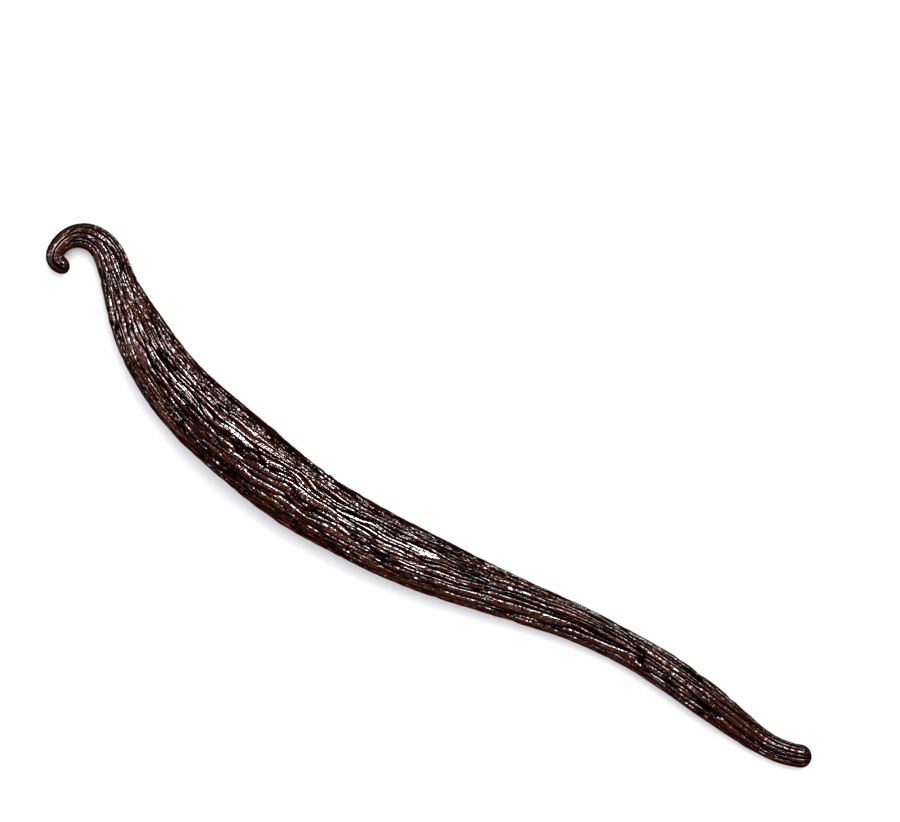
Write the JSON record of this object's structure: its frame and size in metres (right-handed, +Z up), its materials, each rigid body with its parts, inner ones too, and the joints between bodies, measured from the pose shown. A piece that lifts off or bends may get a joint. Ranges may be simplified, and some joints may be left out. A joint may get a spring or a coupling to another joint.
{
  "type": "vanilla pod",
  "caption": "Whole cured vanilla pod lying down: a full, wrinkled, glossy dark brown body with a hooked, curled stalk end and a slender tail with a blunt tip.",
  "frame": {"origin": "middle of the bounding box in plan, on the surface that the pod lies on", "axes": "+X from the curled stalk end to the blossom tip, +Y towards the open side of the pod's bow, +Z up"},
  "size_m": [0.1586, 0.0262, 0.0094],
  "materials": {
    "pod_skin": "dark brown, oily and glossy, with fine lengthwise wrinkles"
  },
  "bodies": {
    "root": {"pod": "pod_skin"}
  },
  "joints": []
}
